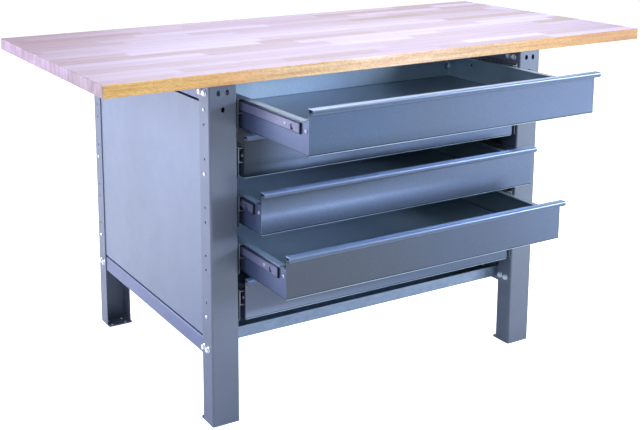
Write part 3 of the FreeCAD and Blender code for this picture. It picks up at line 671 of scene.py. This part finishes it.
def satin_colour(tree, tone, base, cloud, rounded):
    """Satin metallic paint: slow changes over the sheet, fine flake, bright rubbed edges."""
    colour = shade(tree, ramp(tree, cloud, (0.3, 0.97), (0.7, 1.03)), base)
    flake = ramp(tree, grain(tree, 420.0, 2.0), (0.35, 0.90), (0.65, 1.08))
    colour = shade(tree, colour, flake, amount=0.8)
    touched = ramp(tree, grain(tree, 50.0, 4.0), (0.4, 0.3), (0.6, 1.0))
    rub = calc(tree, "MULTIPLY", along_edges(tree, rounded), touched)
    bare = tuple(min(1.0, c * 1.6 + 0.12) for c in tone) + (1,)
    return blend(tree, calc(tree, "MULTIPLY", rub, 0.7), colour, bare)


def satin_finish(tree, surface, colour, cloud, rough, rounded):
    """Links the paint's colour, its nearly even gloss and its fine orange peel."""
    gloss = ramp(tree, cloud, (0.3, rough + 0.01), (0.7, rough - 0.01))
    feed(tree, surface, colour, gloss, grain(tree, 500.0, 2.0), 0.000012, rounded)


def fold(path, sheet, bend):
    """The two faces of a sheet folded along a line of points; the metal lies left of the line."""
    headings = [(Vector(b) - Vector(a)).normalized() for a, b in zip(path, path[1:])]
    left = [Vector((-h.y, h.x)) for h in headings]
    near = [Vector(path[0])]
    far = [near[0] + left[0] * sheet]
    for corner, before, after, out in zip(path[1:-1], headings, headings[1:], left):
        turn = math.atan2(before.x * after.y - before.y * after.x, before.dot(after))
        reach = sheet + bend if turn > 0 else -bend
        entry = Vector(corner) - before * reach * math.tan(turn / 2)
        centre = entry + out * reach
        for step in range(BEND_POINTS):
            spoke = Matrix.Rotation(turn * step / (BEND_POINTS - 1), 2) @ (entry - centre)
            near.append(centre + spoke)
            far.append(centre + spoke * (abs(reach - sheet) / abs(reach)))
    near.append(Vector(path[-1]))
    far.append(near[-1] + left[-1] * sheet)
    return near, far


def sheet_metal(shape, faces, stops, kept, at, holes):
    """Adds a folded sheet drawn along stops, with the cells that are kept and its round holes."""
    folds, steps = len(faces[0]) - 1, len(stops) - 1
    there = {(i, j) for i in range(folds) for j in range(steps) if kept(i, j)}
    corners = {}

    def corner(side, place):
        if (side, place) not in corners:
            corners[side, place] = shape.verts.new(at(faces[side][place[0]], stops[place[1]]))
        return corners[side, place]

    for i, j in sorted(there):
        square = ((i, j), (i + 1, j), (i + 1, j + 1), (i, j + 1))
        for k, beside in enumerate(((i, j - 1), (i + 1, j), (i, j + 1), (i - 1, j))):
            if beside not in there:
                a, b = square[k], square[(k + 1) % 4]
                shape.faces.new((corner(0, a), corner(0, b), corner(1, b), corner(1, a)))
        if (i, j) not in holes:
            for side in (0, 1):
                shape.faces.new([corner(side, c) for c in square])
            continue
        across, along, radius = holes[i, j]
        quarter = HOLE_POINTS // 4
        turns = [math.radians(225 + 360 / HOLE_POINTS * m) for m in range(HOLE_POINTS)]
        rims = []
        for side in (0, 1):
            a, b = faces[side][i], faces[side][i + 1]
            rim = [shape.verts.new(at(a + (b - a).normalized() * (across + radius * math.cos(t)),
                                      along + radius * math.sin(t))) for t in turns]
            rims.append(rim)
            for k in range(4):
                arc = [rim[(quarter * (k + 1) - m) % HOLE_POINTS] for m in range(quarter + 1)]
                shape.faces.new([corner(side, square[k]), corner(side, square[(k + 1) % 4])] + arc)
        for m in range(HOLE_POINTS):
            shape.faces.new((rims[0][m], rims[0][m - 1], rims[1][m - 1], rims[1][m]))


tray_paint, tree, surface = shader("tray paint", SATIN)
cloud = grain(tree, 7.0, 5.0, (0.5, 1, 1), 0.6)
across = calc(tree, "ABSOLUTE", node(tree, "SeparateXYZ", {0: spot(tree)}).outputs[0])
inside = calc(tree, "LESS_THAN", across, INSIDE_HALF)
share = within_box(tree)
base = blend(tree, inside, TRAY_OUTSIDE + (1,), ramp(tree, share[0], *TRAY_INSIDE))
# Bands up the walls are painted too: a painted shade along the seam with the floor and on the lips,
# and a painted shade on the right wall, darker towards the front.
painted_seam_and_lip_shade = ramp(tree, share[2], (0.012, 1.0), (0.0145, 0.45), (0.045, 0.45), (0.055, 1.0),
                    (0.975, 1.0), (0.985, 0.55))
base = shade(tree, base, painted_seam_and_lip_shade)
right_wall = calc(tree, "GREATER_THAN", share[0], RIGHT_WALL_FROM)
right_wall_shade = ramp(tree, share[1], (0.30, 0.30), (0.55, 0.40), (0.75, 0.80), (0.90, 1.2))
base = blend(tree, right_wall, base, shade(tree, base, right_wall_shade))
tree.links.new(ramp(tree, inside, (0.0, 0.55), (1.0, 0.15)), surface.inputs["Metallic"])
rounded = rounded_edges(tree, 0.0006)
colour = satin_colour(tree, TRAY_OUTSIDE, base, cloud, rounded)
satin_finish(tree, surface, colour, cloud, 0.38, rounded)

left_wall_cell, right_wall_cell = BEND_POINTS, 3 * BEND_POINTS
for number in range(1, 6):
    low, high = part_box("tray_%d" % number)
    base, start, rear = low[2], low[1], high[1]
    top = base + TRAY_HIGH
    lip = TRAY_WALL - LIP_WIDE
    tray = bmesh.new()
    wrap = fold([(-lip, top), (-TRAY_WALL, top), (-TRAY_WALL, base), (TRAY_WALL, base),
                 (TRAY_WALL, top), (lip, top)], TRAY_SHEET, TRAY_BEND)
    hole_y = rear - ACCESS_FROM_BACK
    corner_reach = TRAY_SHEET + TRAY_BEND
    holes = {(left_wall_cell, 2): (TRAY_HIGH - ACCESS_UP - corner_reach, hole_y, ACCESS_RADIUS),
             (right_wall_cell, 2): (ACCESS_UP - corner_reach, hole_y, ACCESS_RADIUS)}
    sheet_metal(tray, wrap,
                [start, start + LIP_SHORT, hole_y - ACCESS_CELL, hole_y + ACCESS_CELL, rear],
                lambda i, j: j > 0 or left_wall_cell <= i <= right_wall_cell,
                lambda p, along: (p.x, along, p.y), holes)
    back = fold([(rear, base + TRAY_SHEET / 2), (rear, base + BACK_HIGH),
                 (rear - BACK_LIP, base + BACK_HIGH)], TRAY_SHEET, TRAY_BEND)
    for face in back:
        face[1:1] = [Vector((face[0].x, base + NOTCH_LOW)), Vector((face[0].x, base + NOTCH_HIGH))]
    inner = TRAY_WALL - TRAY_SHEET - BACK_PLAY
    sheet_metal(tray, back, [-inner, NOTCH_DEEP - inner, inner - NOTCH_DEEP, inner],
                lambda i, j: i != 1 or j == 1, lambda p, along: (along, p.x, p.y), {})
    made = piece_from(tray, "folded_tray_%d" % number, "drawer_%d" % number, tray_paint,
                      35)
    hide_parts("tray_%d" % number)


# ---- drawer fronts -------------------------------------------------------------------------------
# Folded from 1.2 mm sheet in the trays' paint; the top edge is a forward pull, open at both ends.
# The pulls carry a painted highlight and painted shade. The tables below paint in mirrored light.

FRONT_TONE = (0.107, 0.143, 0.221)
# Near-black painted shade for the inside of each pull's hollow.
HOLLOW_SHADE = (0.012, 0.016, 0.022, 1)
PULL_DEEP, PULL_FOOT = 0.435, 0.875
HOLLOW_DEEP, HOLLOW_UP = (0.027, 0.431), (0.889, 0.9885)
# Tone from left to right on each front, from the top drawer down. It stands in for what the
# satin paint mirrors of a room, so it goes with a drawer where a real reflection would not.
ALONG = (((0.0, (0.78, 0.88, 0.95)), (0.19, (0.78, 0.88, 0.95)), (0.38, 0.90), (0.56, 0.98),
          (0.75, 1.04), (1.0, 1.11)),
         ((0.0, 0.16), (0.05, 0.26), (0.19, 1.22), (0.38, 0.72), (0.75, 0.86), (0.92, 1.0)),
         ((0.0, 0.90), (0.19, 1.05), (0.40, 1.0), (0.75, 0.95), (1.0, 0.98)),
         ((0.0, (0.66, 0.58, 0.50)), (0.38, (0.66, 0.62, 0.56)), (0.56, 0.70), (0.75, 0.76),
          (0.92, 0.93), (1.0, 0.97)),
         ((0.0, (0.93, 0.81, 0.74)), (0.38, (0.75, 0.70, 0.64)), (0.56, 0.74), (0.75, 0.80),
          (1.0, 0.82)))
# The same for the tone up the left half of each front.
UP_LEFT_HALF = (((0.03, 0.72), (0.25, 0.97), (0.6, 1.02)),
                ((0.05, 0.85), (0.13, 1.55), (0.20, 1.5), (0.28, 1.0), (0.42, 1.25), (0.8, 1.2)),
                ((0.06, 1.3), (0.2, 1.45), (0.30, 1.65), (0.42, 2.2), (0.52, 1.3), (0.62, 0.97),
                 (0.72, 0.76), (0.80, 0.50)),
                ((0.1, 1.0), (0.5, 1.0)),
                ((0.03, 1.9), (0.13, 1.6), (0.22, 1.1), (0.35, 1.0)))


def between(tree, value, limits):
    """A mask that is white where a value lies between two limits."""
    return calc(tree, "MULTIPLY", calc(tree, "GREATER_THAN", value, limits[0]),
                calc(tree, "LESS_THAN", value, limits[1]))


for number, (along, up) in enumerate(zip(ALONG, UP_LEFT_HALF), 1):
    front_paint, tree, surface = shader("front paint %d" % number, SATIN)
    cloud = grain(tree, 7.0, 5.0, (0.35, 1, 1), 0.6)
    rounded = rounded_edges(tree, 0.0006)
    coat = satin_colour(tree, FRONT_TONE, FRONT_TONE + (1,), cloud, rounded)
    share = within_box(tree)
    # Painted shade along the bottom edge of the front and in a band just under the pull.
    shade_under_pull = ramp(tree, share[2], (0.0, 0.10), (0.020, 0.20), (0.032, 1.0), (0.80, 1.0),
                      (0.845, 0.84), (0.875, 0.62))
    colour = shade(tree, coat, ramp(tree, share[0], *along), shade_under_pull)
    left_half = ramp(tree, share[0], (0.30, 1.0), (0.75, 0.0))
    colour = blend(tree, left_half, colour, shade(tree, colour, ramp(tree, share[2], *up)))
    # Painted highlight on the pull's bends, brightest along its top.
    pull_highlight = ramp(tree, share[2], (0.88, 1.35), (0.905, 1.2), (0.925, 0.72), (0.945, 0.85),
                   (0.965, 1.3), (1.0, 3.0))
    on_pull = calc(tree, "MULTIPLY", calc(tree, "LESS_THAN", share[1], PULL_DEEP),
                   calc(tree, "GREATER_THAN", share[2], PULL_FOOT))
    colour = blend(tree, on_pull, colour, shade(tree, coat, pull_highlight))
    # The hollow inside the pull gets the painted shade.
    in_hollow = calc(tree, "MULTIPLY", between(tree, share[1], HOLLOW_DEEP),
                     between(tree, share[2], HOLLOW_UP))
    colour = blend(tree, in_hollow, colour, HOLLOW_SHADE)
    satin_finish(tree, surface, colour, cloud, 0.31, rounded)
    paint(front_paint, "drawer_front_%d" % number)


# ---- drawer screws -------------------------------------------------------------------------------
# One screw through each side of a tray into its front, and two through each slide's drawer member.
# They are small cross-recessed screws in the same dull zinc as the slides' own.

for number in range(1, 6):
    screws("drawer_screws_%d" % number, "drawer_%d" % number, dull_zinc, 20)


# ---- room ----------------------------------------------------------------------------------------
# Not part of the bench: a white floor and surround, soft lamps, and the camera.
# The surround and the floor's glow show to the camera alone, and the lamps light the bench.

scene = bpy.context.scene
scene.view_settings.view_transform = "Standard"

world = bpy.data.worlds.new("studio")
world.use_nodes = True
scene.world = world
tree = world.node_tree
tree.nodes.clear()
seen = node(tree, "LightPath").outputs["Is Camera Ray"]
lit = node(tree, "Background", {"Color": (0.93, 1.0, 0.70, 1), "Strength": 0.125}).outputs[0]
white = node(tree, "Background", {"Color": (1, 1, 1, 1), "Strength": 1.0}).outputs[0]
mixed = node(tree, "MixShader", {0: seen, 1: lit, 2: white}).outputs[0]
node(tree, "OutputWorld", {0: mixed})

SPAN = 9.0
mesh = bpy.data.meshes.new("floor")
mesh.from_pydata([(-SPAN, -SPAN, 0), (SPAN, -SPAN, 0), (SPAN, SPAN, 0), (-SPAN, SPAN, 0)], [],
                 [(0, 1, 2, 3)])
floor = bpy.data.objects.new("floor", mesh)
scene.collection.objects.link(floor)
floor_white, tree, surface = shader("floor white", {
    "Roughness": 0.9, "Base Color": (0.92, 0.92, 0.92, 1), "Emission Color": (1, 1, 1, 1)})
seen = node(tree, "LightPath").outputs["Is Camera Ray"]
tree.links.new(calc(tree, "MULTIPLY", seen, 0.90), surface.inputs["Emission Strength"])
floor.data.materials.append(floor_white)


def lamp(name, place, aim, size, power, colour):
    """A large soft lamp turned towards a point."""
    light = bpy.data.lights.new(name, "AREA")
    light.shape = "RECTANGLE"
    light.size, light.size_y = size
    light.energy = power
    light.color = colour
    made = bpy.data.objects.new(name, light)
    made.location = place
    made.rotation_euler = (Vector(aim) - Vector(place)).to_track_quat("-Z", "Y").to_euler()
    scene.collection.objects.link(made)
    return made


lamp("left rear softbox", (-3.4, 2.6, 1.3), (0, 0.2, 0.5), (2.6, 2.2), 218, (0.81, 0.84, 1.0))
lamp("left softbox", (-3.6, -0.4, 1.7), (0, 0, 0.5), (2.0, 2.0), 55, (0.48, 0.54, 1.0))
lamp("ceiling softbox", (0.2, 0.0, 3.2), (0, 0, 0.8), (3.0, 2.2), 114, (1.0, 0.975, 0.92))
lamp("right front softbox", (3.4, -3.0, 1.35), (0, 0, 0.6), (2.0, 0.8), 240, (0.74, 0.83, 1.0))
lamp("front fill", (-2.6, -3.6, 2.4), (0, 0, 0.6), (2.4, 1.6), 38, (0.8, 0.9, 1.0))
lamp("rear right softbox", (2.3, 3.3, 1.5), (0, 0, 0.7), (3.0, 2.4), 30, (0.9, 0.93, 1.0))

PICTURE_WIDE, PICTURE_HIGH, SENSOR_WIDE = 640, 430, 36.0
FOCAL_PIXELS, CENTRE_ACROSS, CENTRE_DOWN = 1080.19, 268.71, 78.41

camera_data = bpy.data.cameras.new("camera")
camera = bpy.data.objects.new("camera", camera_data)
camera_data.sensor_width = SENSOR_WIDE
camera_data.lens = SENSOR_WIDE * FOCAL_PIXELS / PICTURE_WIDE
camera_data.shift_x = (PICTURE_WIDE / 2 - CENTRE_ACROSS) / PICTURE_WIDE
camera_data.shift_y = (CENTRE_DOWN - PICTURE_HIGH / 2) / PICTURE_WIDE
camera_data.clip_end = 50.0
right = Vector((0.8681937, -0.4962128, -0.003554))
up = Vector((0.0976451, 0.1638129, 0.981647))
ahead = Vector((0.4865236, 0.8526067, -0.1906741))
turn = Matrix((right, up, -ahead)).transposed().to_4x4()
camera.matrix_world = Matrix.Translation((-1.5496, -2.4830, 1.3049)) @ turn
scene.collection.objects.link(camera)
scene.camera = camera
